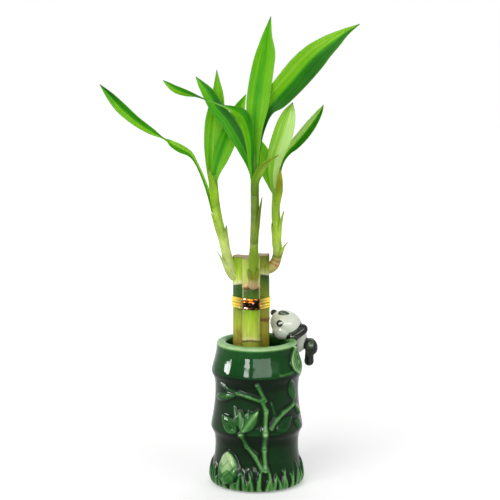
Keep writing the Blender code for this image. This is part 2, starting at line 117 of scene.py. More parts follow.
# Blade: x, y, z of the midrib, half width and roll (degrees) at each station; then how far its halves
# fold up (degrees).
LEAVES = {
    "leaf_left_long": ([
        (-30.9, -0.6, 193.0, 0.9, 40), (-33.7, -2.0, 206.0, 1.5, 40), (-37.6, -4.0, 217.5, 1.6, 50),
        (-42.0, -7.0, 227.8, 1.5, 50), (-46.0, -9.0, 234.0, 2.2, 35), (-52.7, -12.0, 238.2, 3.0, 20),
        (-58.6, -14.5, 241.8, 2.4, 30), (-63.4, -16.5, 245.0, 1.6, 80), (-72.6, -19.5, 251.0, 2.6, 25),
        (-82.4, -22.5, 258.3, 3.4, 5), (-91.5, -24.5, 266.8, 3.9, 0), (-99.0, -25.5, 275.2, 2.6, 0),
        (-105.3, -26.0, 282.5, 0.15, 0),
    ], 18),
    "leaf_left_tall": ([
        (-30.8, 2.6, 208.6, 1.8, 0), (-31.0, 4.2, 217.0, 3.2, 0), (-31.2, 7.0, 227.0, 4.6, 0),
        (-30.9, 10.0, 239.0, 6.0, 0), (-29.6, 13.0, 252.5, 6.8, 0), (-28.2, 16.0, 264.0, 5.8, 0),
        (-27.4, 18.0, 274.0, 4.0, 0), (-27.7, 20.0, 282.5, 1.9, 0), (-28.0, 21.0, 290.2, 0.15, 0),
    ], 10),
    "leaf_left_leaning": ([
        (-29.8, 0.6, 208.6, 1.6, 0), (-28.6, 0.6, 219.0, 2.8, 0), (-24.5, 2.5, 232.0, 6.2, -12),
        (-20.2, 6.5, 243.5, 6.9, -12), (-16.0, 11.5, 254.5, 5.8, -8), (-11.8, 16.0, 264.5, 3.6, 0),
        (-7.6, 19.0, 273.2, 0.15, 0),
    ], 14),
    "leaf_front_upright": ([
        (-1.7, -18.9, 218.6, 2.0, 0), (-1.4, -19.0, 235.5, 3.2, 0), (-1.1, -19.2, 251.5, 4.8, 0),
        (0.1, -19.2, 267.0, 7.6, 0), (1.9, -18.2, 281.2, 7.9, 0), (4.0, -15.5, 293.8, 7.5, 0),
        (5.9, -12.0, 303.6, 6.5, 0), (6.9, -8.0, 314.5, 3.4, 0), (9.4, -3.0, 327.4, 0.15, 0),
    ], 10),
    "leaf_front_right": ([
        (-0.9, -17.2, 218.6, 1.6, 0), (0.5, -16.2, 238.0, 2.0, 0), (2.6, -15.2, 252.0, 3.0, 0),
        (6.6, -14.6, 264.0, 4.6, 0), (12.8, -15.0, 272.4, 8.2, 0), (22.3, -19.0, 283.4, 9.5, 0),
        (30.6, -22.5, 293.2, 9.9, 0), (38.6, -25.5, 301.6, 9.0, 0), (44.9, -27.5, 307.2, 7.2, 0),
        (51.3, -29.0, 312.1, 5.4, 0), (59.2, -30.5, 317.8, 2.5, 0), (68.0, -31.5, 322.7, 0.15, 0),
    ], 12),
    "leaf_front_left": ([
        (-2.8, -15.9, 218.6, 1.4, 0), (-5.2, -14.2, 227.2, 2.2, 0), (-9.4, -11.0, 238.0, 4.0, -8),
        (-14.4, -7.0, 247.4, 5.0, -8), (-20.6, -3.0, 257.0, 5.2, -8), (-27.5, 0.0, 265.0, 5.0, -5),
        (-33.2, 3.0, 274.4, 4.4, 0), (-38.2, 5.0, 280.8, 2.5, 0), (-42.2, 6.0, 286.2, 0.15, 0),
    ], 12),
    "leaf_front_twisted": ([
        (-3.2, -20.4, 218.6, 1.4, 0), (-4.2, -21.9, 229.5, 1.9, 0), (-4.6, -24.0, 242.0, 3.1, 0),
        (-6.8, -27.0, 253.6, 4.2, 5), (-10.2, -30.0, 261.6, 4.9, 20), (-16.4, -33.0, 265.8, 3.6, 55),
        (-23.6, -36.0, 268.8, 2.4, 82), (-31.9, -39.0, 272.2, 2.0, 96), (-39.8, -41.5, 275.3, 2.2, 112),
        (-47.0, -43.5, 277.7, 2.6, 150), (-53.8, -45.0, 280.4, 2.5, 170), (-58.6, -46.0, 283.7, 1.5, 180),
        (-61.9, -46.5, 286.4, 0.15, 180),
    ], 8),
    "bract_front": ([
        (-1.6, -21.9, 207.0, 2.3, 0), (-1.2, -22.0, 216.0, 3.1, 0), (0.6, -22.4, 221.6, 3.4, 10),
        (3.4, -23.2, 226.6, 3.0, 20), (6.9, -24.4, 230.6, 2.0, 30), (10.4, -25.6, 233.0, 1.0, 40),
        (14.4, -27.0, 235.0, 0.15, 40),
    ], 30),
    "leaf_right_pale": ([
        (12.4, 1.6, 204.6, 1.5, 0), (11.2, 0.4, 215.4, 2.6, 0), (11.9, -2.5, 226.0, 4.6, 0),
        (13.5, -6.0, 235.3, 6.1, 0), (17.0, -9.0, 245.6, 7.1, 0), (19.8, -11.0, 255.5, 6.3, 0),
        (22.2, -12.0, 263.2, 4.2, 0), (24.2, -12.0, 269.6, 0.15, 0),
    ], 16),
    "leaf_right_folded": ([
        (13.6, 4.0, 204.6, 1.3, 0), (15.0, 6.0, 216.5, 1.5, 0), (17.2, 8.0, 226.5, 1.8, 0),
        (21.2, 10.0, 233.5, 2.9, 0), (26.0, 12.0, 238.6, 4.4, 0), (32.2, 15.0, 245.2, 4.9, 0),
        (38.2, 18.0, 252.6, 4.3, 0), (43.6, 20.0, 260.2, 2.5, 0), (46.7, 21.0, 265.6, 0.15, 0),
    ], 35),
    "leaf_right_back": ([
        (12.6, 5.3, 204.6, 1.6, 0), (10.2, 7.8, 211.5, 3.0, 0), (7.9, 10.5, 218.5, 4.4, 0),
        (5.6, 14.0, 227.0, 5.4, 0), (3.1, 18.0, 235.5, 4.0, 0), (-0.6, 21.0, 244.0, 0.15, 0),
    ], 12),
    "bract_right": ([
        (14.6, -0.7, 197.0, 2.4, 20), (14.8, -1.2, 204.5, 3.0, 20), (15.2, -2.0, 211.0, 2.9, 20),
        (15.6, -3.5, 217.5, 2.0, 20), (16.0, -5.2, 224.4, 0.15, 20),
    ], 30),
    "bract_left": ([
        (-29.4, -2.9, 196.0, 2.4, 0), (-29.7, -2.9, 203.5, 3.2, 0), (-30.4, -2.9, 210.5, 3.0, 0),
        (-32.0, -2.9, 218.0, 1.8, 0), (-33.7, -2.9, 224.2, 0.15, 0),
    ], 30),
}

# Relief on the vase, as angle from the front (degrees, right positive) and height (mm).
# Stems: the joints between their segments, and the stem's half width.
RELIEF_STEMS = [
    ([(1.1, 75.8), (10.0, 65.8)], 2.1),
    ([(7.0, 65.2), (11.8, 58.2), (10.2, 43.6), (9.6, 31.0), (10.8, 16.5)], 2.2),
    ([(5.0, 65.2), (-10.8, 68.1), (-25.0, 69.9)], 1.9),
    ([(-25.0, 69.9), (-39.1, 71.7), (-55.1, 74.7)], 1.3),
    ([(18.5, 46.3), (26.5, 51.8), (37.4, 56.0), (56.0, 60.0)], 1.9),
    ([(-19.4, 41.0), (-13.1, 32.8), (-2.6, 25.8), (6.6, 17.0)], 2.1),
    ([(20.0, 62.5), (24.0, 55.5)], 0.9),
    ([(31.0, 82.6), (48.0, 83.2), (62.0, 85.0)], 0.9),
]
# Leaves: angle, height, half length, half width, lean (degrees to the right), rise, outlined edge.
RELIEF_LEAVES = [
    (-48.5, 66.3, 12.0, 3.0, 77, 1.6, 0.2),
    (-8.0, 51.2, 9.6, 4.6, 35, 2.3, 0.0),
    (-21.0, 51.3, 7.8, 3.0, -8, 1.9, 0.0),
    (-14.0, 50.5, 8.0, 4.2, 12, 1.5, 0.0),
    (-28.5, 54.3, 7.9, 1.9, -14, 1.4, 0.0),
    (-39.0, 48.0, 8.6, 4.8, -52, 1.5, 1.0),
    (54.5, 71.0, 9.2, 4.4, -28, 1.7, 0.7),
    (67.0, 55.5, 6.4, 3.0, -43, 1.6, 0.0),
    (65.0, 45.5, 6.2, 4.0, -60, 1.2, 0.5),
    (38.0, 48.0, 8.0, 4.6, 62, 0.9, 0.6),
    (64.0, 91.0, 10.0, 7.2, 4, 3.0, 1.0),
]
SHOOT_BUD = (-40.5, 16.2, 11.4, 9.0, 3.4)
GRASS_BLADES = 62

# The panda: centre, half lengths and turn about Y (degrees) of each rounded mass, then the start, end
# and radius of each limb.
PANDA_WHITE = [
    ((20.8, 12.6, 111.0), (11.6, 9.2, 9.6), 22.0),
    ((18.4, 10.6, 106.8), (7.6, 7.0, 7.2), 0.0),
    ((29.6, 18.0, 99.5), (6.6, 7.4, 10.5), 0.0),
]
PANDA_BLACK = [
    ((19.0, 8.6, 119.2), (3.8, 2.0, 2.2), 12.0),
    ((12.2, 17.2, 118.2), (2.6, 2.2, 2.4), 0.0),
    ((38.6, 14.4, 94.2), (4.9, 5.0, 6.4), -16.0),
    ((28.6, 27.0, 93.4), (4.6, 4.8, 6.2), 0.0),
]
PANDA_LIMBS = [
    ((32.4, 10.2, 107.6), (25.0, 7.4, 102.8), 3.9),
    ((26.0, 20.0, 107.0), (14.6, 20.2, 105.4), 3.2),
    ((37.6, 14.4, 90.0), (37.4, 15.0, 83.4), 3.2),
    ((28.0, 27.5, 90.0), (28.0, 29.0, 82.6), 2.9),
]
# Its face is inked on, at x and z seen from the front; the eye holds a painted highlight, and the mouth
# line is partly painted shade under the muzzle.
EYE = (15.6, 113.2)
EYE_RADIUS = 2.6
# radius of the painted highlight in the eye
EYE_HIGHLIGHT_RADIUS = 1.0
MOUTH = ((11.4, 105.0), (18.4, 99.6))
MOUTH_SAG = 1.2
MOUTH_HALF_WIDTH = 0.75
INK_EDGE = 0.35
PANDA_VOXEL = 0.35


# ---------- small helpers
def smooth(rows, samples):
    """Catmull-Rom curve through rows of numbers."""
    rows = np.array(rows, float)
    ends = np.vstack([2 * rows[0] - rows[1], rows, 2 * rows[-1] - rows[-2]])
    made = []
    for a, b, c, d in zip(ends, ends[1:], ends[2:], ends[3:]):
        bend, twist = 2 * a - 5 * b + 4 * c - d, 3 * b - a - 3 * c + d
        for t in np.arange(samples) / samples:
            made.append(0.5 * (2 * b + (c - a) * t + bend * t**2 + twist * t**3))
    return np.array(made + [rows[-1]])


def unit(vectors):
    return vectors / np.linalg.norm(vectors, axis=1)[:, None]


def nearly_closed(ring):
    """A ring shrunk almost to its centre, to close the end of a bar."""
    centre = ring.mean(axis=0)
    return centre + 0.02 * (ring - centre)


def grid_mesh(name, points, closed=False):
    """A mesh from points (rows, columns, 3) in mm; closed joins each row's end to its start."""
    rows, columns = points.shape[:2]
    index = np.arange(rows * columns).reshape(rows, columns)
    if closed:
        index = np.hstack([index, index[:, :1]])
    corners = (index[:-1, :-1], index[:-1, 1:], index[1:, 1:], index[1:, :-1])
    quads = np.stack(corners, axis=-1).reshape(-1, 4)
    mesh = bpy.data.meshes.new(name)
    mesh.from_pydata((points.reshape(-1, 3) * MM).tolist(), [], quads.tolist())
    return mesh


def set_attribute(mesh, name, values):
    attribute = mesh.attributes.new(name, "FLOAT", "POINT")
    attribute.data.foreach_set("value", np.ascontiguousarray(values, np.float32).reshape(-1))


def set_tint(mesh, colours):
    """A linear colour for each point, on which the material adds its grain."""
    attribute = mesh.attributes.new("tint", "FLOAT_COLOR", "POINT")
    full = np.concatenate([colours, np.ones((*colours.shape[:-1], 1))], axis=-1)
    attribute.data.foreach_set("color", np.ascontiguousarray(full, np.float32).reshape(-1))


def gradient(rows, at):
    """Colours read from rows of (place, (r, g, b)) with rising places."""
    places = [row[0] for row in rows]
    return np.stack([np.interp(at, places, [row[1][i] for row in rows]) for i in range(3)], axis=-1)


def blend(colours, colour, share):
    """Colours moved towards another by a share at each point."""
    return colours + (np.array(colour) - colours) * share[..., None]


def new_object(name, data):
    obj = bpy.data.objects.new(name, data)
    bpy.context.scene.collection.objects.link(obj)
    return obj


def piece(name, mesh, look, node, slot):
    """A finished piece that rides with the object and stands for a CAD node."""
    obj = new_object(name, mesh)
    mesh.materials.append(look)
    mesh.shade_smooth()
    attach(obj, "root")
    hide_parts(node)
    return obj


def apply_modifiers(obj):
    """Turn the modified shape into the object's own mesh."""
    graph = bpy.context.evaluated_depsgraph_get()
    made = bpy.data.meshes.new_from_object(obj.evaluated_get(graph))
    obj.modifiers.clear()
    obj.data = made
    made.shade_smooth()


# ---------- materials
class Look:
    """A small helper to write a node material in a few lines."""

    def __init__(self, name):
        self.material = bpy.data.materials.new(name)
        self.material.use_nodes = True
        self.tree = self.material.node_tree
        self.shader = self.tree.nodes["Principled BSDF"]

    def node(self, kind, **settings):
        made = self.tree.nodes.new(kind)
        for key, value in settings.items():
            setattr(made, key, value)
        return made

    def link(self, output, target):
        self.tree.links.new(output, target)

    def put(self, target, value):
        if isinstance(value, (int, float, tuple)):
            target.default_value = value
        else:
            self.link(value, target)

    def attribute(self, name, output="Fac"):
        return self.node("ShaderNodeAttribute", attribute_name=name).outputs[output]

    def math(self, operation, a, b=0.0):
        made = self.node("ShaderNodeMath", operation=operation)
        self.put(made.inputs[0], a)
        self.put(made.inputs[1], b)
        return made.outputs[0]

    def ramp(self, value, stops):
        made = self.node("ShaderNodeValToRGB")
        band = made.color_ramp
        while len(band.elements) < len(stops):
            band.elements.new(0.5)
        for element, (place, colour) in zip(band.elements, stops):
            element.position = place
            element.color = (*colour, 1.0)
        self.link(value, made.inputs["Fac"])
        return made.outputs["Color"]

    def mask(self, value, low, high):
        """Nothing up to low, rising to all at high."""
        return self.ramp(value, [(low, (0, 0, 0)), (high, (1, 1, 1))])

    def around_zero(self, value):
        """Noise with its middle moved to zero."""
        return self.math("SUBTRACT", value, 0.5)

    def mix(self, factor, a, b, mode="MIX"):
        made = self.node("ShaderNodeMix", data_type="RGBA", blend_type=mode)
        self.put(made.inputs["Factor"], factor)
        self.put(made.inputs["A"], (*a, 1.0) if isinstance(a, tuple) else a)
        self.put(made.inputs["B"], (*b, 1.0) if isinstance(b, tuple) else b)
        return made.outputs["Result"]

    def noise_at(self, place, scale, detail):
        made = self.node("ShaderNodeTexNoise")
        made.inputs["Scale"].default_value = scale
        made.inputs["Detail"].default_value = detail
        self.link(place, made.inputs["Vector"])
        return made.outputs["Fac"]

    def noise(self, scale, detail=3.0, stretch=(1, 1, 1)):
        mapping = self.node("ShaderNodeMapping")
        mapping.inputs["Scale"].default_value = stretch
        self.link(self.node("ShaderNodeTexCoord").outputs["Object"], mapping.inputs["Vector"])
        return self.noise_at(mapping.outputs["Vector"], scale, detail)

    def strands(self, across, along, count, length, detail=4.0):
        """Noise that runs in long thin streaks: across and along are attributes."""
        joined = self.node("ShaderNodeCombineXYZ")
        self.put(joined.inputs[0], self.math("MULTIPLY", across, count))
        self.put(joined.inputs[1], self.math("MULTIPLY", along, length))
        return self.noise_at(joined.outputs[0], 1.0, detail)

    def skin(self, count, cloud, dull, bright):
        """The tint, streaked along count fibres and clouded; returned with the fibres."""
        fibres = self.strands(self.attribute("across"), self.attribute("along"), count, 5.0)
        level = self.math("ADD", self.math("MULTIPLY", fibres, 0.8), self.math("MULTIPLY", cloud, 0.9))
        shade = self.ramp(level, [(0.45, dull), (0.85, (1, 1, 1)), (1.0, bright)])
        return self.mix(1.0, self.attribute("tint", "Color"), shade, "MULTIPLY"), fibres

    def bump(self, height, strength, distance):
        made = self.node("ShaderNodeBump")
        made.inputs["Strength"].default_value = strength
        made.inputs["Distance"].default_value = distance
        self.link(height, made.inputs["Height"])
        self.link(made.outputs["Normal"], self.shader.inputs["Normal"])

    def finish(self, colour, roughness, **sockets):
        self.put(self.shader.inputs["Base Color"], colour)
        self.put(self.shader.inputs["Roughness"], roughness)
        for name, value in sockets.items():
            self.shader.inputs[name.replace("_", " ")].default_value = value
        return self.material


def glaze_look():
    """Green glaze: dark where it pools in the hollows, pale where it runs thin off the relief; its tone
    also holds painted shade and painted highlights from the vase's tones.
    """
    look = Look("green_glaze")
    cloud = look.around_zero(look.noise(38.0, 5.0))
    glaze_tone_and_painted_light = look.math("ADD", look.attribute("relief"), look.math("MULTIPLY", cloud, 0.34))
    colour = look.ramp(glaze_tone_and_painted_light, [
        (0.0, (0.0004, 0.004, 0.0006)), (0.3, (0.0008, 0.014, 0.0015)), (0.5, (0.003, 0.07, 0.008)),
        (0.68, (0.04, 0.18, 0.03)), (0.84, (0.17, 0.4, 0.12)), (0.96, (0.48, 0.7, 0.34)),
    ])
    look.bump(look.noise(75.0, 2.0), 0.3, 0.0012)
    return look.finish(colour, 0.07, Specular_IOR_Level=0.12)


def panda_look():
    """White glaze mottled with painted shade, over black patches showing wear, with the eye and the mouth
    inked on; the eye holds a painted highlight, and the mouth line is partly painted shade under the
    muzzle.
    """
    look = Look("panda_glaze")
    cloud = look.math("MULTIPLY", look.around_zero(look.noise(500.0)), 0.3)
    edge = look.math("ADD", look.attribute("paint"), cloud)
    # painted shade: the white glaze is mottled at random with a shaded greyish green that also stands for
    # the vase's green reflected in it
    shade = look.mix(look.noise(90.0), (0.95, 0.96, 0.88), (0.7, 0.78, 0.6))
    dark = look.ramp(look.noise(130.0, 3.0), [(0.48, (0.003, 0.005, 0.003)), (0.64, (0.08, 0.12, 0.065))])
    patched = look.mix(look.mask(edge, 0.42, 0.58), shade, dark)
    inked = look.mix(look.attribute("ink"), patched, (0.003, 0.004, 0.003))
    # painted highlight: a pale dot in the eye
    colour = look.mix(look.attribute("painted_eye_highlight"), inked, (0.85, 0.87, 0.8))
    look.bump(look.noise(200.0, 2.0), 0.06, 0.0003)
    return look.finish(colour, 0.14, Specular_IOR_Level=0.3)


def gold_look():
    """Bright gold-coloured wire; where it crosses the front stalk it is painted with a dark reflection, red
    brown in patches, and with painted white glint streaks.
    """
    look = Look("gold_wire")
    bright = look.mix(look.noise(300.0), (1.0, 0.8, 0.06), (0.9, 0.6, 0.02))
    # painted reflection: dark, with red-brown patches, and painted white glint streaks over it
    painted_dark_reflection = look.ramp(look.noise(300.0, 3.0), [(0.54, (0.008, 0.003, 0.002)), (0.62, (0.5, 0.14, 0.02))])
    painted_glints = look.mask(look.noise(420.0, 2.0), 0.62, 0.66)
    painted_reflection = look.mix(painted_glints, painted_dark_reflection, (1.0, 0.85, 0.75))
    colour = look.mix(look.attribute("front"), bright, painted_reflection)
    look.bump(look.noise(1200.0, 3.0), 0.1, 0.0002)
    return look.finish(colour, 0.2, Metallic=1.0)


def plant_look(name, bump, roughness, specular):
    """Green plant skin."""
    look = Look(name)
    colour, fibres = look.skin(30.0, look.noise(70.0, 4.0), (0.5, 0.56, 0.4), (1.35, 1.25, 1.6))
    look.bump(fibres, bump, 0.0003)
    return look.finish(colour, roughness, Specular_IOR_Level=specular)


def stalk_look():
    """Cane skin with brown scars, and brown pith on the cut face."""
    look = Look("stalk_skin")
    cloud = look.noise(60.0, 5.0, (1, 1, 0.6))
    skin, fibres = look.skin(36.0, cloud, (0.5, 0.55, 0.4), (1.3, 1.2, 1.5))
    scar = look.mask(look.noise(110.0, 6.0), 0.6, 0.68)
    marked = look.mix(look.math("MULTIPLY", scar, look.attribute("scarred")), skin, (0.16, 0.06, 0.012))
    pith = look.mix(look.noise(420.0), (0.42, 0.3, 0.1), (0.15, 0.08, 0.02))
    look.bump(fibres, 0.25, 0.0003)
    return look.finish(look.mix(look.attribute("cut"), marked, pith), 0.36, Specular_IOR_Level=0.15)


def leaf_look():
    """The tone picks the green, streaked along its veins, with a pale edge and a brown tip."""
    look = Look("leaf_blade")
    across, along, tone = (look.attribute(name) for name in ("across", "along", "tone"))
    broad = look.around_zero(look.strands(across, along, 5.0, 1.6, 2.0))
    veins = look.around_zero(look.strands(across, along, 14.0, 1.2, 1.0))
    cloud = look.around_zero(look.noise(55.0))
    streak = look.math("ADD", look.math("MULTIPLY", veins, 0.3), look.math("MULTIPLY", broad, 0.55))
    shift = look.math("ADD", streak, look.math("MULTIPLY", cloud, 0.25))
    greens = look.ramp(look.math("ADD", tone, shift), [
        (0.0, (0.6, 0.9, 0.28)), (0.2, (0.31, 0.68, 0.045)), (0.4, (0.17, 0.52, 0.006)),
        (0.6, (0.06, 0.38, 0.003)), (0.8, (0.016, 0.19, 0.001)), (1.0, (0.003, 0.08, 0.001)),
    ])
    rim = look.mask(look.math("ABSOLUTE", across), 0.9, 1.0)
    edged = look.mix(look.math("MULTIPLY", rim, 0.35), greens, (0.3, 0.55, 0.08))
    tip = look.mask(along, 0.965, 1.0)
    colour = look.mix(look.math("MULTIPLY", tip, 0.75), edged, (0.06, 0.07, 0.015))
    look.bump(veins, 0.15, 0.0003)
    return look.finish(colour, 0.45, Specular_IOR_Level=0.06)


# ---------- vase
ARC = math.radians(1.0) * 30.5  # mm along the wall for each degree round it
WALL_GRID = (210, 420)  # points up the wall and round it


def stem_height(x, z, joints, half):
    """Height of a jointed stem lying on the wall, at wall positions x and z in mm."""
    height = np.zeros_like(x)
    for (a0, z0), (a1, z1) in zip(joints, joints[1:]):
        start, end = np.array([a0 * ARC, z0]), np.array([a1 * ARC, z1])
        run = end - start
        length = np.hypot(*run)
        t = ((x - start[0]) * run[0] + (z - start[1]) * run[1]) / length**2
        reach = np.clip(t, 0.0, 1.0)
        away = np.hypot(x - start[0] - reach * run[0], z - start[1] - reach * run[1])
        wide = half * (0.86 + 0.24 * np.abs(2 * reach - 1) ** 3)
        joint = np.exp(-((np.minimum(np.abs(t), np.abs(1 - t)) * length / 0.45) ** 2))
        bar = np.sqrt(np.clip(1 - (away / wide) ** 2, 0, 1)) * wide * (1 - 0.4 * joint)
        height = np.maximum(height, bar)
    return height


def leaf_height(x, z, angle, middle, half_length, half_width, lean, rise, outlined):
    """Height of a leaf on the wall: a ridged roof, or (outlined) a rim with ridges inside it."""
    turn = math.radians(lean)
    dx, dz = x - angle * ARC, z - middle
    s = (dx * math.sin(turn) + dz * math.cos(turn)) / half_length
    t = dx * math.cos(turn) - dz * math.sin(turn)
    inside = np.abs(s) < 1
    wide = half_width * np.clip(1 - np.abs(s) ** 2, 0, 1) ** 0.8 * (1 - 0.3 * s)
    near = np.where(inside, np.clip((wide - np.abs(t)), 0, None), 0)
    share = near / np.maximum(wide, 0.01)
    edge = np.clip(near / 0.7, 0, 1)
    roof = rise * edge * (0.35 + 0.65 * share)
    border = rise * edge * (0.72 + 0.28 * np.cos(2 * math.pi * (near - 0.9) / 2.1))
    return np.where(inside, (1 - outlined) * roof + outlined * border, 0)


def bud_height(x, z):
    """The young shoot at the foot: a pointed egg in overlapping sheaths."""
    angle, middle, half_length, half_width, rise = SHOOT_BUD
    dx, dz = x - angle * ARC, z - middle
    s = dz / half_length
    wide = half_width * np.clip(1 - np.abs(s) ** 2.2, 0, 1) ** 0.6 * (1 - 0.18 * s)
    t = dx / np.maximum(wide, 0.01)
    dome = rise * np.sqrt(np.clip(1 - t * t, 0, 1)) * (np.abs(s) < 1)
    for slope, shift, lean in ((0.9, 0.05, 0.3), (-0.7, -0.1, -0.2), (0.8, -0.55, 0.1), (-1.1, 0.75, 0.0)):
        line = s - shift - slope * np.abs(t + lean)
        dome = dome * (1 - 0.2 * np.exp(-((line / 0.045) ** 2)) + 0.05 * np.tanh(line / 0.08))
    return dome


def grass_height(x, z):
    """Rounded blades of grass round the foot, each leaning its own way to a point."""
    height = np.zeros_like(x)
    for i in range(GRASS_BLADES):
        angle = 360.0 * (i + 0.35 * math.sin(2.3 * i)) / GRASS_BLADES - 180.0
        tall = 15.5 + 3.6 * math.sin(1.7 * i) + 2.4 * math.sin(4.1 * i)
        rise = np.clip(z / tall, 0, 1)
        middle = angle * ARC + 2.6 * math.sin(3.1 * i) * rise**1.5
        half = 2.1 * np.clip(1 - rise**1.6, 0, 1) + 0.01
        blade = 1.5 * np.sqrt(np.clip(1 - ((x - middle) / half) ** 2, 0, 1)) * np.clip((1 - rise) * 6, 0, 1)
        height = np.maximum(height, blade)
    return height


def soften(field, times):
    """Blur a field on the wall, which closes round it but not up it."""
    for _ in range(times):
        field = (np.roll(field, 1, 1) + np.roll(field, -1, 1) + 2 * field) / 4
        field[1:-1] = (field[2:] + field[:-2] + 2 * field[1:-1]) / 4
    return field


def wall_relief(x, z):
    """Height of everything raised on the wall, fading out at its foot."""
    relief = np.maximum(grass_height(x, z), bud_height(x, z))
    for joints, half in RELIEF_STEMS:
        relief = np.maximum(relief, stem_height(x, z, joints, half))
    for row in RELIEF_LEAVES:
        relief = np.maximum(relief, leaf_height(x, z, *row))
    return soften(relief, 2) * np.clip(z / 1.5, 0, 1)


def wall_tone(x, z, relief):
    """How thin the glaze is: most on what stands out and at the rim; with painted shade under the rings,
    painted highlights on the rings' crests and on the rim, painted light on the band above the upper ring,
    and painted light and shade on the bud.
    """
    # painted shade under each ring, and painted highlights on the rings' crests
    under = np.interp(z, [30, 36, 40, 41.5, 70, 75, 80, 81.5], [0, 0.12, 0.16, 0, 0, 0.12, 0.16, 0])
    crest_highlight = np.interp(z, [40.4, 41.6, 43.5, 46, 80, 81.6, 83.5, 86], [0, 0.1, 0.06, 0, 0, 0.1, 0.06, 0])
    # painted light: the band above the upper ring is lighter towards the front left and darker towards the
    # back right
    collar_side_light = 0.06 + 0.1 * np.cos(np.radians(x / ARC + 40.0))
    tone = 0.35 + 0.36 * (relief - soften(relief, 14)) + 0.15 * relief
    tone = tone + collar_side_light * np.clip((z - 82.0) / 4.0, 0, 1)
    # a pale rim where the glaze runs thin, with a painted highlight on it
    tone = tone + crest_highlight - under + 0.5 * np.clip((z - 98.8) / 1.8, 0, 1)
    # painted light and shade: the bud is lighter at its top and darker at its foot
    tone = tone + 0.016 * (z - SHOOT_BUD[1]) * np.clip(bud_height(x, z), 0, 1)
    return tone + 0.14 * grass_height(x, z) * np.clip(1 - z / 16, 0, 1)


def turned(section, angles):
    """Rings of points, one for each (radius, height), at angles in degrees from the front."""
    theta = np.radians(angles)
    rings = [np.broadcast_arrays(r * np.sin(theta), -r * np.cos(theta), z) for r, z in section]
    return np.array(rings).transpose(0, 2, 1)


def vase():
    """One skin: the foot, up the wall with its relief, over the rim and down the inside."""
    rows, columns = WALL_GRID
    wall = smooth(TRUNK, 16)
    run = np.concatenate([[0], np.cumsum(np.hypot(*np.diff(wall, axis=0).T))])
    at = np.linspace(0, run[-1], rows)
    heights, radii = np.interp(at, run, wall[:, 0]), np.interp(at, run, wall[:, 1])
    angles = np.linspace(-180.0, 180.0, columns, endpoint=False)
    x, z = np.meshgrid(angles * ARC, heights)
    relief = wall_relief(x, z)

    middle, half = (radii[-1] + MOUTH_RADIUS) / 2, (radii[-1] - MOUTH_RADIUS) / 2
    lip = VASE_HEIGHT - heights[-1]
    turns = np.linspace(0, math.pi, 15)[1:]
    rim = [(middle + half * math.cos(a), heights[-1] + lip * math.sin(a) ** 0.7) for a in turns]
    cavity = [
        (MOUTH_RADIUS + 0.6, 88.0), (CAVITY_RADIUS - 0.6, 60.0), (CAVITY_RADIUS, 16.0),
        (CAVITY_RADIUS - 1.5, VASE_FLOOR + 3.0), (18.0, VASE_FLOOR), (0.02, VASE_FLOOR),
    ]
    foot = [(0.02, 0.0), (27.0, 0.0)]
    rings = foot + list(zip(radii[:, None] + relief, z)) + rim + cavity
    # the rim: pale where the glaze runs thin, with a painted highlight on it
    rim_tone_and_highlight = np.repeat([[0.95 - 0.02 * i] for i in range(len(rim))], columns, axis=1)
    # painted shade: the inside of the vase is made darker than its wall
    foot_tone, cavity_shade = np.full((len(foot), columns), 0.3), np.full((len(cavity), columns), 0.1)
    tones = np.concatenate([foot_tone, wall_tone(x, z, relief), rim_tone_and_highlight, cavity_shade])

    mesh = grid_mesh("vase_body", turned(rings, angles), closed=True)
    # the relief attribute holds the glaze's tone, with its painted shade and highlights, not the height
    set_attribute(mesh, "relief", np.clip(tones, 0, 1))
    piece("vase_body", mesh, glaze_look(), "vase", "green_glaze")
    bm = bmesh.new()
    bm.from_mesh(mesh)
    bmesh.ops.remove_doubles(bm, verts=bm.verts, dist=0.0001)
    bmesh.ops.recalc_face_normals(bm, faces=bm.faces)
    bm.to_mesh(mesh)
    bm.free()


# ---------- panda
def add_ball(bm, centre, half, turn=0.0):
    """A ball stretched to its half lengths, then turned about Y."""
    place = Matrix.Translation(Vector(centre) * MM) @ Matrix.Rotation(math.radians(turn), 4, "Y")
    place = place @ Matrix.Diagonal((*(Vector(half) * MM), 1.0))
    bmesh.ops.create_uvsphere(bm, u_segments=40, v_segments=24, radius=1.0, matrix=place)


def add_limb(bm, start, end, radius):
    """A row of balls, a little thicker towards the end."""
    for t in np.linspace(0, 1, 9):
        add_ball(bm, Vector(start).lerp(Vector(end), t), (radius * (1 + 0.1 * t**3),) * 3)


def from_line(points, start, end):
    """How far along a line each point is, from 0 to 1, and its offset from the line."""
    start, end = np.array(start), np.array(end)
    run = end - start
    t = np.clip((points - start) @ run / (run @ run), 0, 1)
    return t, points - start - t[:, None] * run


def inked(reach, radius):
    """1 within a radius, fading out over the ink's edge."""
    return np.clip((radius - reach) / INK_EDGE, 0, 1)


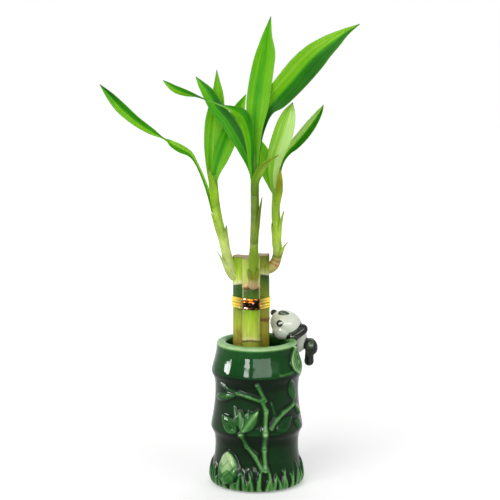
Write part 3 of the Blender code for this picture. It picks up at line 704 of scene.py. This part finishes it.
def paint_panda(mesh):
    """Mark the black patches and limbs, the eye with its painted white highlight, and the mouth line, which
    is partly painted shade under the muzzle.
    """
    points = np.empty(len(mesh.vertices) * 3, np.float32)
    mesh.vertices.foreach_get("co", points)
    points = points.reshape(-1, 3) / MM
    paint = np.zeros(len(points))
    for centre, half, turn in PANDA_BLACK:
        across = Matrix.Rotation(math.radians(-turn), 3, "Y")
        away = (points - np.array(centre)) @ np.array(across).T / np.array(half)
        np.maximum(paint, np.clip(0.5 + (1.12 - np.linalg.norm(away, axis=1)) * 4, 0, 1), out=paint)
    for start, end, radius in PANDA_LIMBS:
        away = np.linalg.norm(from_line(points, start, end)[1], axis=1)
        np.maximum(paint, np.clip(0.5 + (radius * 1.22 - away) / 0.5, 0, 1), out=paint)

    near_eye = np.hypot(points[:, 0] - EYE[0], points[:, 2] - EYE[1]) < 0.5
    eye = points[near_eye][np.argmin(points[near_eye][:, 1])]
    reach = np.linalg.norm(points - eye, axis=1)
    t, offset = from_line(points[:, [0, 2]], *MOUTH)
    offset[:, 1] += MOUTH_SAG * np.sin(math.pi * t)
    on_face = points[:, 1] < 12
    # the mouth line: partly the mouth, partly painted shade along the muzzle's underside
    mouth = inked(np.linalg.norm(offset, axis=1), MOUTH_HALF_WIDTH) * on_face
    set_attribute(mesh, "paint", paint)
    set_attribute(mesh, "ink", np.maximum(mouth, inked(reach, EYE_RADIUS)))
    # painted highlight in the eye
    set_attribute(mesh, "painted_eye_highlight", inked(reach, EYE_HIGHLIGHT_RADIUS))


def panda():
    """The figure: balls and limbs melted into one skin, with black ears, arms and legs."""
    bm = bmesh.new()
    for centre, half, turn in PANDA_WHITE + PANDA_BLACK:
        add_ball(bm, centre, half, turn)
    for start, end, radius in PANDA_LIMBS:
        add_limb(bm, start, end, radius)
    mesh = bpy.data.meshes.new("panda_figure")
    bm.to_mesh(mesh)
    bm.free()
    obj = piece("panda_figure", mesh, panda_look(), "panda", "panda_glaze")
    remesh = obj.modifiers.new("Remesh", "REMESH")
    remesh.mode = "VOXEL"
    remesh.voxel_size = PANDA_VOXEL * MM
    melt = obj.modifiers.new("Melt", "SMOOTH")
    melt.factor = 0.5
    melt.iterations = 10
    apply_modifiers(obj)
    paint_panda(obj.data)


# ---------- stalks and tie
def stalk_axes():
    """The three canes stand in a triangle, one of them in front."""
    x, y = BUNDLE_CENTRE
    half = STALK_SPACING / 2
    depth = STALK_SPACING * math.sqrt(3) / 2
    back = y + depth / 3
    return {"left": (x - half, back), "front": (x, y - 2 * depth / 3), "right": (x + half, back)}


# Skin colours up each cane, from painted shade inside the vase to the cut.
INSIDE_SHADE = (0.12, 0.2, 0.012)
CANE_TINTS = {
    "left": [
        (95, INSIDE_SHADE), (101, (0.42, 0.3, 0.04)), (107, (0.52, 0.5, 0.05)), (114, (0.48, 0.58, 0.04)),
        (121, (0.33, 0.45, 0.025)), (127, (0.2, 0.32, 0.012)), (134, (0.03, 0.13, 0.004)),
        (140, (0.018, 0.1, 0.003)), (141.6, (0.004, 0.03, 0.001)), (142.4, (0.8, 0.8, 0.42)),
        (143.6, (0.75, 0.8, 0.36)), (145, (0.62, 0.76, 0.14)), (150, (0.45, 0.66, 0.03)),
        (157, (0.3, 0.5, 0.01)), (162, (0.2, 0.36, 0.008)),
    ],
    "front": [
        (95, INSIDE_SHADE), (100, (0.4, 0.42, 0.04)), (103.2, (0.3, 0.36, 0.03)), (103.9, (0.03, 0.04, 0.004)),
        (104.6, (0.8, 0.7, 0.3)), (105.6, (0.7, 0.74, 0.2)), (108, (0.6, 0.74, 0.09)),
        (115, (0.52, 0.68, 0.05)), (122, (0.32, 0.54, 0.016)), (128, (0.16, 0.34, 0.01)),
        (134, (0.07, 0.16, 0.003)), (140, (0.045, 0.1, 0.002)), (141, (0.1, 0.05, 0.01)),
        (142, (0.4, 0.22, 0.06)), (143.2, (0.62, 0.5, 0.16)), (146, (0.55, 0.62, 0.12)),
        (154, (0.46, 0.64, 0.07)), (162, (0.36, 0.5, 0.05)),
    ],
    "right": [
        (95, INSIDE_SHADE), (101, (0.34, 0.3, 0.02)), (108, (0.44, 0.42, 0.03)), (114.5, (0.38, 0.36, 0.025)),
        (116.2, (0.2, 0.11, 0.015)), (117.6, (0.22, 0.12, 0.015)), (119.5, (0.38, 0.37, 0.03)),
        (127, (0.36, 0.4, 0.03)), (134, (0.24, 0.32, 0.015)), (142, (0.1, 0.2, 0.006)),
        (147.6, (0.03, 0.08, 0.003)), (148.4, (0.01, 0.02, 0.002)), (149.2, (0.75, 0.78, 0.4)),
        (150.4, (0.6, 0.66, 0.2)), (154, (0.34, 0.42, 0.03)), (162, (0.14, 0.18, 0.01)),
    ],
}
SCARRED = {"left": 0.35, "front": 0.12, "right": 0.6}
CUT_SLANT = {"left": 0.0, "front": 0.0, "right": 0.05}


def cut_face(edge, x, y, height):
    """Rings that close a cane's top, a little sunk inside its skin."""
    rings = []
    for share, dip in ((0.9, 0.1), (0.75, 0.3), (0.4, 0.35), (0.01, 0.3)):
        ring = edge.copy()
        ring[:, :2] = (x, y) + share * (ring[:, :2] - (x, y))
        ring[:, 2] = height - 0.3 + share * (ring[:, 2] - height + 0.3) - dip
        rings.append(ring)
    return rings


def stalk(side, look):
    """A cane: node rings stand out a little, with a groove under each, and the top is cut flat."""
    height, nodes = STALKS[side]
    x, y = stalk_axes()[side]
    sides = 80
    top = [height - 0.8, height - 0.3, height]
    levels = np.concatenate([np.arange(VASE_FLOOR + 0.3, top[0], 0.5), top])
    turns = np.linspace(0, 2 * math.pi, sides, endpoint=False)
    t, z = np.meshgrid(turns, levels)
    wave = 0.35 * np.sin(2 * t + len(side)) + 0.25 * np.sin(3 * t)
    radius = STALK_RADIUS + 0.06 * np.sin(5 * t + z / 9) + 0.03 * np.sin(11 * t)
    for node in nodes:
        level = z - node - wave
        radius += 0.22 * np.exp(-((level / 0.8) ** 2)) - 0.16 * np.exp(-(((level + 1.6) / 0.7) ** 2))
    near_top = np.clip((z - height + 6) / 6, 0, 1)
    slant = CUT_SLANT[side] * radius * np.cos(t)
    z_made = z + near_top * (0.25 * np.sin(3 * t + 1) + slant) - 0.3 * near_top
    body = np.stack([x + radius * np.cos(t), y + radius * np.sin(t), z_made], axis=-1)
    foot = np.stack([x + 0.01 * np.cos(turns), y + 0.01 * np.sin(turns), z_made[0]], axis=-1)
    caps = cut_face(body[-1], x, y, height)
    mesh = grid_mesh(f"cane_{side}", np.concatenate([[foot], body, caps]), closed=True)
    skin = gradient(CANE_TINTS[side], z - wave)
    if side == "front":  # a pale band runs down each of its sides
        # painted highlight: a pale band down each side of the front cane
        band = 0.65 * np.clip((np.abs(np.cos(t)) - 0.8) / 0.16, 0, 1) * (z > 106)
        skin = blend(skin, (0.66, 0.68, 0.22), band)
    hidden = np.array([[INSIDE_SHADE] * sides])

    def whole(values, first, last):
        """Values for the body, with the foot's centre before them and the cut face after them."""
        return np.concatenate([np.full((1, sides), first), values, np.full((len(caps), sides), last)])

    set_tint(mesh, np.concatenate([hidden, skin, np.repeat(hidden, len(caps), axis=0)]))
    set_attribute(mesh, "cut", whole(np.where(z > height - 0.4, 1.0, 0.0), 0, 1))
    set_attribute(mesh, "scarred", whole(np.full_like(z, SCARRED[side]), 0, 0))
    set_attribute(mesh, "across", whole(np.abs(t / math.pi - 1), 0, 0))
    set_attribute(mesh, "along", whole(z / 100.0, 0, 1.6))
    piece(f"cane_{side}", mesh, look, f"stalk_{side}", "stalk_skin")


def wire_route():
    """The wire from above: arcs round the canes, turn after turn, with its ends tucked in behind."""
    reach = STALK_RADIUS + WIRE_GAP
    loop = []
    for side, start in (("right", 90.0), ("front", -30.0), ("left", -150.0)):
        x, y = stalk_axes()[side]
        for step in range(13):
            angle = math.radians(start - 10.0 * step)
            loop.append((x + reach * math.cos(angle), y + reach * math.sin(angle)))
    x, y = BUNDLE_CENTRE[0], stalk_axes()["left"][1]
    tucked = [(x, y + reach - 2.6), (x, y + reach - 0.6)]
    return np.array(tucked + loop * WIRE_TURNS + tucked[::-1])


def tie(look):
    """Wire wound round the bundle and pressed flat against it."""
    route = wire_route()
    rise = WIRE_LOWEST + np.linspace(0.0, WIRE_TURNS * WIRE_PITCH, len(route))
    rise = rise + 0.12 * np.sin(np.arange(len(route)) * 0.9)
    rise = rise - WIRE_BACK_DROP * np.clip((route[:, 1] + 16.0) / 12.0, 0, 1)
    tangent = unit(np.gradient(route, axis=0))
    out = np.stack([-tangent[:, 1], tangent[:, 0]], axis=-1)
    turns = np.linspace(0, 2 * math.pi, 14, endpoint=False)
    half_out, half_up = WIRE_HALF
    flat = route[:, None] + out[:, None] * (half_out * np.cos(turns))[None, :, None]
    rings = np.concatenate([flat, (rise[:, None] + half_up * np.sin(turns))[..., None]], axis=-1)
    points = np.array([nearly_closed(rings[0]), *rings, nearly_closed(rings[-1])])
    mesh = grid_mesh("gold_tie", points, closed=True)
    # where the wire crosses the front cane; gold_look paints a dark reflection and white glint streaks
    # there
    on_front_cane = np.abs(points[..., 0] - BUNDLE_CENTRE[0]) < 7
    set_attribute(mesh, "front", np.clip((-points[..., 1] - 10.0) / 2.5, 0, 1) * on_front_cane)
    piece("gold_tie", mesh, look, "tie_wire", "gold_wire")


# ---------- shoots, sheaths, leaves
STEM_SIDES = 28
# Stem colours by height.
STEM_TINTS = {
    "left": [
        (146, (0.6, 0.7, 0.2)), (156, (0.6, 0.72, 0.22)), (170, (0.58, 0.74, 0.16)),
        (184, (0.42, 0.64, 0.06)), (198, (0.3, 0.54, 0.02)), (214, (0.2, 0.46, 0.008)),
    ],
    "front": [
        (143, (0.12, 0.06, 0.015)), (145, (0.5, 0.36, 0.14)), (147.5, (0.42, 0.36, 0.12)),
        (149.5, (0.24, 0.26, 0.02)), (156, (0.2, 0.32, 0.008)), (171, (0.24, 0.4, 0.012)),
        (172.5, (0.4, 0.52, 0.08)), (174, (0.17, 0.27, 0.006)), (188, (0.13, 0.22, 0.004)),
        (206, (0.12, 0.22, 0.004)), (220, (0.12, 0.3, 0.004)), (236, (0.1, 0.34, 0.004)),
    ],
    "right": [
        (150, (0.34, 0.4, 0.04)), (154.6, (0.55, 0.5, 0.16)), (155.8, (0.4, 0.16, 0.03)),
        (157, (0.6, 0.52, 0.18)), (158.2, (0.36, 0.13, 0.02)), (159.6, (0.5, 0.5, 0.12)),
        (161, (0.2, 0.26, 0.02)), (163, (0.4, 0.52, 0.08)), (166, (0.55, 0.76, 0.12)),
        (176, (0.46, 0.7, 0.06)), (190, (0.36, 0.6, 0.03)), (206, (0.3, 0.54, 0.02)),
        (218, (0.4, 0.66, 0.06)),
    ],
}


def bar_points(route, radii, sides):
    """Rings of points round a route, with its ends all but closed."""
    angles = np.linspace(0, 2 * math.pi, sides, endpoint=False)
    tangents = unit(np.gradient(route, axis=0))
    side = Vector(tangents[0]).cross(Vector((0, 1, 0))).normalized()
    rings = []
    for place, tangent, radius in zip(route, tangents, radii):
        tangent = Vector(tangent)
        side = (side - tangent * side.dot(tangent)).normalized()
        other = tangent.cross(side)
        round_it = np.outer(np.cos(angles), side) + np.outer(np.sin(angles), other)
        rings.append(place + radius * round_it)
    return np.array([nearly_closed(rings[0]), *rings, nearly_closed(rings[-1])])


def shoot(side, look):
    """A stem, with a rolled growing tip that the leaf bases wrap."""
    route = smooth(SHOOTS[side], 12)
    radii = route[:, 3] + 0.04 * np.sin(route[:, 2] * 0.9)
    mesh = grid_mesh(f"stem_{side}", bar_points(route[:, :3], radii, STEM_SIDES), closed=True)
    heights = np.concatenate([route[:1, 2], route[:, 2], route[-1:, 2]])
    round_it = np.abs(np.linspace(-1, 1, STEM_SIDES, endpoint=False))
    set_tint(mesh, np.repeat(gradient(STEM_TINTS[side], heights), STEM_SIDES, axis=0))
    set_attribute(mesh, "along", np.repeat(heights / 100.0, STEM_SIDES))
    set_attribute(mesh, "across", np.tile(round_it, len(heights)))
    piece(f"stem_{side}", mesh, look, f"shoot_{side}", "shoot_skin")


def strip(name, place, along, across, thickness, look, node, slot, paint):
    """A thin blade: place(s, u) is its middle surface, s from foot to tip and u from -1 to 1."""
    steps, sides = np.linspace(0, 1, along), np.linspace(-1, 1, across)
    points = np.array([[place(s, u) for u in sides] for s in steps])
    mesh = grid_mesh(name, points)
    s, u = np.meshgrid(steps, sides, indexing="ij")
    set_attribute(mesh, "along", s)
    set_attribute(mesh, "across", u)
    paint(node, mesh, s, u, points)
    obj = piece(name, mesh, look, node, slot)
    solid = obj.modifiers.new("Thickness", "SOLIDIFY")
    solid.thickness = thickness * MM
    solid.offset = 0.0
    apply_modifiers(obj)


def stem_frame(route, z):
    """The stem's centre, radius, and the ways to its front and its right at a height."""
    x, y, radius = (np.interp(z, route[:, 2], route[:, i]) for i in (0, 1, 3))
    x_up, y_up = (np.interp(z + 2.0, route[:, 2], route[:, i]) for i in (0, 1))
    up = Vector((x_up - x, y_up - y, 2.0)).normalized()
    front = (Vector((0, -1, 0)) - up * up.dot(Vector((0, -1, 0)))).normalized()
    return Vector((x, y, z)), radius, front, up.cross(front)


def sheath(name, side, low, high, facing, wrap, flare, look):
    """A pointed sheath: its foot is grown into the stem and its tip stands off it; it turns a darker green
    up its upper half and dry brown at the very tip.
    """
    route = smooth(SHOOTS[side], 12)

    def place(s, u):
        centre, radius, front, right = stem_frame(route, low + (high - low) * s)
        half = wrap * (1.0 - s**1.6) + 3.0 * (1 - s) + 1.0
        angle = math.radians(facing + u * half)
        grown = min(s / 0.3, 1.0)
        out = radius - 0.25 + 0.5 * grown + flare * s**2.2 - 0.2 * u * u * (1 - grown)
        return centre + (front * math.cos(angle) + right * math.sin(angle)) * out

    def paint(node, mesh, s, u, points):
        tint = gradient(STEM_TINTS[side], points[..., 2])
        tint = blend(tint, tint * 0.6 + np.array((0.06, 0.12, 0.004)), np.clip((s - 0.5) / 0.5, 0, 1))
        set_tint(mesh, blend(tint, (0.12, 0.1, 0.02), np.clip((s - 0.88) / 0.12, 0, 1)))

    strip(name + "_skin", place, 34, 14, 0.4, look, name, "sheath_skin", paint)


# A blade's tone, from 0 for the palest yellow green to 1 for the darkest green, then what is added to it
# on its left or upper half and on its other half (painted light and shade: one half lighter, the other
# darker), a stripe down its middle, its foot and its tip, and how far up it a twist swaps the two halves.
BLADE_TONES = {
    "leaf_left_long": (0.42, -0.14, 0.2, 0.0, -0.15, 0.3, 0.53),
    "leaf_left_tall": (0.42, 0.02, -0.02, -0.05, 0.0, 0.05, 0.0),
    "leaf_left_leaning": (0.46, 0.1, -0.06, 0.1, 0.0, 0.0, 0.0),
    "leaf_front_upright": (0.55, -0.08, -0.14, 0.16, 0.05, 0.05, 0.0),
    "leaf_front_right": (0.64, -0.3, 0.22, -0.05, 0.0, -0.05, 0.0),
    "leaf_front_left": (0.74, -0.1, 0.16, -0.08, 0.05, -0.22, 0.0),
    "leaf_front_twisted": (0.6, 0.14, -0.18, -0.06, 0.1, -0.05, 0.6),
    # painted light: this blade's tone is kept pale, as if lit through from behind
    "leaf_right_pale": (0.1, 0.1, -0.08, 0.0, 0.0, 0.05, 0.0),
    "leaf_right_folded": (0.4, -0.32, 0.34, -0.05, -0.1, 0.1, 0.0),
    "leaf_right_back": (0.32, 0.0, 0.05, 0.05, 0.0, 0.05, 0.0),
}
# A bract grows out of its stem in the stem's colours and opens into its own.
BRACT_TINTS = {
    "bract_front": ("front", (0.26, 0.44, 0.02)),
    "bract_left": ("left", (0.22, 0.45, 0.01)),
    "bract_right": ("right", (0.34, 0.4, 0.01)),
}


def paint_bract(name, mesh, s, u, points):
    """From its stem's colours to its own, and dry at its tip."""
    side, own = BRACT_TINTS[name]
    tint = blend(gradient(STEM_TINTS[side], points[..., 2]), own, np.clip((s - 0.15) / 0.4, 0, 1))
    set_tint(mesh, blend(tint, (0.14, 0.12, 0.02), np.clip((s - 0.85) / 0.15, 0, 1)))


def paint_blade(name, mesh, s, u, points):
    tone, first, second, stripe, foot, tip, twist = BLADE_TONES[name]
    # painted light and shade: the two halves of the blade get different tones, swapped where the blade
    # twists
    half = 0.5 + 0.5 * np.tanh(u / 0.12) * np.tanh((s - twist + 0.001) / 0.02)
    shade = tone + first * (1 - half) + second * half + stripe * np.exp(-((u / 0.3) ** 2))
    ends = foot * np.exp(-((s / 0.2) ** 2)) + tip * np.exp(-(((1 - s) / 0.25) ** 2))
    set_attribute(mesh, "tone", shade + ends)


def leaf(name, rows, fold, look, slot):
    """A blade, or a bract whose foot hugs its stem."""
    route = smooth(rows, 12)
    last = len(route) - 1
    is_bract = name in BRACT_TINTS

    def place(s, u):
        at = s * last
        i = min(int(at), last - 1)
        x, y, z, half, roll = route[i] + (route[i + 1] - route[i]) * (at - i)
        tangent = Vector(route[i + 1][:3] - route[max(i - 1, 0)][:3]).normalized()
        side = Vector((0, 1, 0)).cross(tangent).normalized()
        side = Matrix.Rotation(math.radians(roll), 3, tangent) @ side
        face = side.cross(tangent)
        hug = max(0.0, 1 - s / 0.35) if is_bract else 0.0
        open_lift = math.sin(math.radians(fold)) * (math.sqrt(u * u + 0.03) - 0.17)
        lift = open_lift * (1 - hug) + (-0.5 * u * u - 0.3 - 0.2 * max(0.0, 1 - s / 0.06)) * hug
        ripple = 0.012 * math.sin(9 * u) + 0.02 * math.sin(17 * s + 2 * u)
        across = u * half * math.cos(math.radians(fold))
        return Vector((x, y, z)) + side * across + face * ((lift + ripple) * half)

    paint = paint_bract if is_bract else paint_blade
    strip(name + "_blade", place, 8 * len(rows), 21, 0.45, look, name, slot, paint)


def foliage():
    leaf_skin = leaf_look()
    stem_skin = plant_look("shoot_skin", 0.2, 0.36, 0.15)
    sheath_skin = plant_look("sheath_skin", 0.3, 0.45, 0.12)
    for side in SHOOTS:
        shoot(side, stem_skin)
    for name, row in SHEATHS.items():
        sheath(name, *row, sheath_skin)
    for name, (rows, fold) in LEAVES.items():
        skin, slot = (sheath_skin, "sheath_skin") if name in BRACT_TINTS else (leaf_skin, "leaf_blade")
        leaf(name, rows, fold, skin, slot)


# ---------- floor, lights and camera
WORLD_LIGHT = 0.36
FLOOR_SIZE = 3.0
FLOOR_LIFT = (0.34, 0.8)  # near the object, where the lamps reach, and far from it
FLOOR_LIFT_REACH = (0.08, 0.9)
LIT_PLACE = Vector((0, 0, 0.12))
CAMERA_PLACE = (-0.0048, -1.1, 0.3415)
CAMERA_DIP = 9.06  # degrees below level


def seen_directly(tree):
    """1 for camera, glossy and transmission rays, which all see the same white background."""
    path = tree.nodes.new("ShaderNodeLightPath")
    seen = path.outputs["Is Camera Ray"]
    for output in ("Is Glossy Ray", "Is Transmission Ray"):
        either = tree.nodes.new("ShaderNodeMath")
        either.operation = "MAXIMUM"
        tree.links.new(seen, either.inputs[0])
        tree.links.new(path.outputs[output], either.inputs[1])
        seen = either.outputs[0]
    return seen


def backdrop_look():
    """A pale floor that keeps the object's shadow, lifted to white where it is seen directly."""
    look = Look("studio_white")
    look.finish((0.8, 0.8, 0.8, 1), 0.9, Specular_IOR_Level=0.0)
    away = look.node("ShaderNodeVectorMath", operation="LENGTH")
    look.link(look.node("ShaderNodeTexCoord").outputs["Object"], away.inputs[0])
    lift = look.node("ShaderNodeMapRange")
    look.link(away.outputs["Value"], lift.inputs["Value"])
    for i, end in enumerate(("Min", "Max")):
        lift.inputs[f"From {end}"].default_value = FLOOR_LIFT_REACH[i]
        lift.inputs[f"To {end}"].default_value = FLOOR_LIFT[i]
    look.shader.inputs["Emission Color"].default_value = (1, 1, 1, 1)
    shown = look.math("MULTIPLY", seen_directly(look.tree), lift.outputs["Result"])
    look.link(shown, look.shader.inputs["Emission Strength"])
    return look.material


def stage():
    """The floor lies just under the vase's foot."""
    mesh = bpy.data.meshes.new("floor")
    corners = [(FLOOR_SIZE * x, FLOOR_SIZE * y, 0) for x, y in ((-1, -1), (1, -1), (1, 1), (-1, 1))]
    mesh.from_pydata(corners, [], [(0, 1, 2, 3)])
    floor = new_object("floor", mesh)
    floor.location.z = -0.0003
    mesh.materials.append(backdrop_look())


def world():
    """A dim white sky that is seen at full white."""
    made = bpy.data.worlds.new("studio")
    bpy.context.scene.world = made
    made.use_nodes = True
    tree = made.node_tree
    level = tree.nodes.new("ShaderNodeMapRange")
    level.inputs["To Min"].default_value = WORLD_LIGHT
    tree.links.new(seen_directly(tree), level.inputs["Value"])
    back = tree.nodes["Background"]
    tree.links.new(level.outputs["Result"], back.inputs["Strength"])
    back.inputs["Color"].default_value = (1, 1, 1, 1)


def lamp(name, azimuth, elevation, distance, size, power, lights_surfaces=True):
    """A softbox round the object: azimuth in degrees from the front, right positive."""
    data = bpy.data.lights.new(name, "AREA")
    data.shape = "RECTANGLE"
    data.size, data.size_y = size
    data.energy = power
    obj = new_object(name, data)
    turn, rise = math.radians(azimuth), math.radians(elevation)
    toward = Vector((math.sin(turn) * math.cos(rise), -math.cos(turn) * math.cos(rise), math.sin(rise)))
    obj.location = LIT_PLACE + toward * distance
    obj.rotation_euler = toward.to_track_quat("Z", "Y").to_euler()
    obj.visible_camera = False
    obj.visible_diffuse = lights_surfaces


def lights():
    """Soft light from the front and upper left, and windows that are only seen reflected."""
    world()
    lamp("key", -30, 42, 1.3, (0.8, 0.8), 8.5)
    lamp("fill", 45, 25, 1.4, (0.8, 0.8), 3.0)
    lamp("back", 170, 50, 1.3, (0.8, 0.6), 4.0)
    lamp("bright_window", -26, 11, 1.45, (0.3, 0.28), 12.0, False)
    lamp("dim_window", 13, 11, 1.45, (1.3, 0.3), 14.0, False)
    lamp("left_window", -84, 11, 1.3, (0.45, 0.26), 24.0, False)


def camera():
    data = bpy.data.cameras.new("camera")
    data.lens = 115.0
    obj = new_object("camera", data)
    obj.location = CAMERA_PLACE
    obj.rotation_euler = (math.radians(90.0 - CAMERA_DIP), 0.0, 0.0)
    bpy.context.scene.camera = obj


camera()
stage()
lights()
vase()
panda()
cane_skin = stalk_look()
for cane in STALKS:
    stalk(cane, cane_skin)
tie(gold_look())
foliage()
bpy.context.scene.view_settings.view_transform = "Standard"
